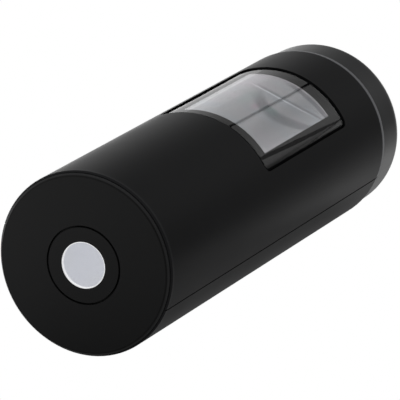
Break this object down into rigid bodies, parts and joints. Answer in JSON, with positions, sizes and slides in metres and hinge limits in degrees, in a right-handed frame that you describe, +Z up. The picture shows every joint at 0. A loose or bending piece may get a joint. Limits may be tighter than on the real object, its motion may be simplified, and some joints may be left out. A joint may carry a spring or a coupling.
{
  "type": "handheld tube colorimeter",
  "caption": "Cylindrical handheld colour meter with a flat measuring face and round aperture at one end, a curved side display and a push button in the rounded rear cap.",
  "frame": {"origin": "on the surface it lies on, straight below the middle of its length", "axes": "+Y along the tube from the measuring face to the rear cap, +Z up through the middle of the display window, +X to the right seen from the measuring face"},
  "size_m": [0.033, 0.102, 0.033],
  "materials": {
    "black_shell": "fine satin texture",
    "black_plate": "smooth satin",
    "black_cap": "fine satin texture",
    "button_grey": "satin",
    "sphere_white": "matt white",
    "clear_cover": "polished clear",
    "mask_black": "gloss",
    "display_grey": "gloss",
    "holder_grey": "matt",
    "board_green": "satin",
    "chip_black": "matt",
    "lamp_white": "clear dome",
    "optic_glass": "polished",
    "cable_amber": "satin",
    "cell_sleeve": "shrink sleeve over a metal can",
    "nickel": "bright nickel",
    "screw_steel": "zinc plated",
    "spring_steel": "drawn wire",
    "foam_grey": "foam",
    "barrel_black": "matt"
  },
  "bodies": {
    "tube": {"front_shell": "black_shell", "back_shell": "black_shell", "shell_screws": "screw_steel", "front_plate": "black_plate", "aperture_ring": "black_plate", "sphere_front": "sphere_white", "sphere_rear": "sphere_white", "optics_screws": "screw_steel", "led_board": "board_green", "leds": "lamp_white", "detector_barrel": "barrel_black", "detector_lens": "optic_glass", "sensor_board": "board_green", "color_sensor": "chip_black", "optics_cables": "cable_amber", "display_lens": "clear_cover", "lens_mask": "mask_black", "display_panel": "display_grey", "display_holder": "holder_grey", "holder_screws": "screw_steel", "display_cable": "cable_amber", "main_board": "board_green", "board_parts": "chip_black", "board_header": "chip_black", "battery_cell": "cell_sleeve", "battery_tabs": "nickel", "battery_pad": "foam_grey", "rear_cap": "black_cap", "rear_board": "board_green", "rear_board_screws": "screw_steel", "usb_socket": "nickel", "tact_switch": "chip_black", "button_spring": "spring_steel"},
    "button": {"measure_button": "button_grey", "switch_plunger": "chip_black"}
  },
  "joints": [
    {"name": "button_press", "type": "slide", "parent": "tube", "child": "button", "axis": [0, -1, 0], "range_m": [0, 0.0005], "stiffness_N_per_m": 350, "springref_m": -0.002, "deforming": ["button_spring"]}
  ]
}
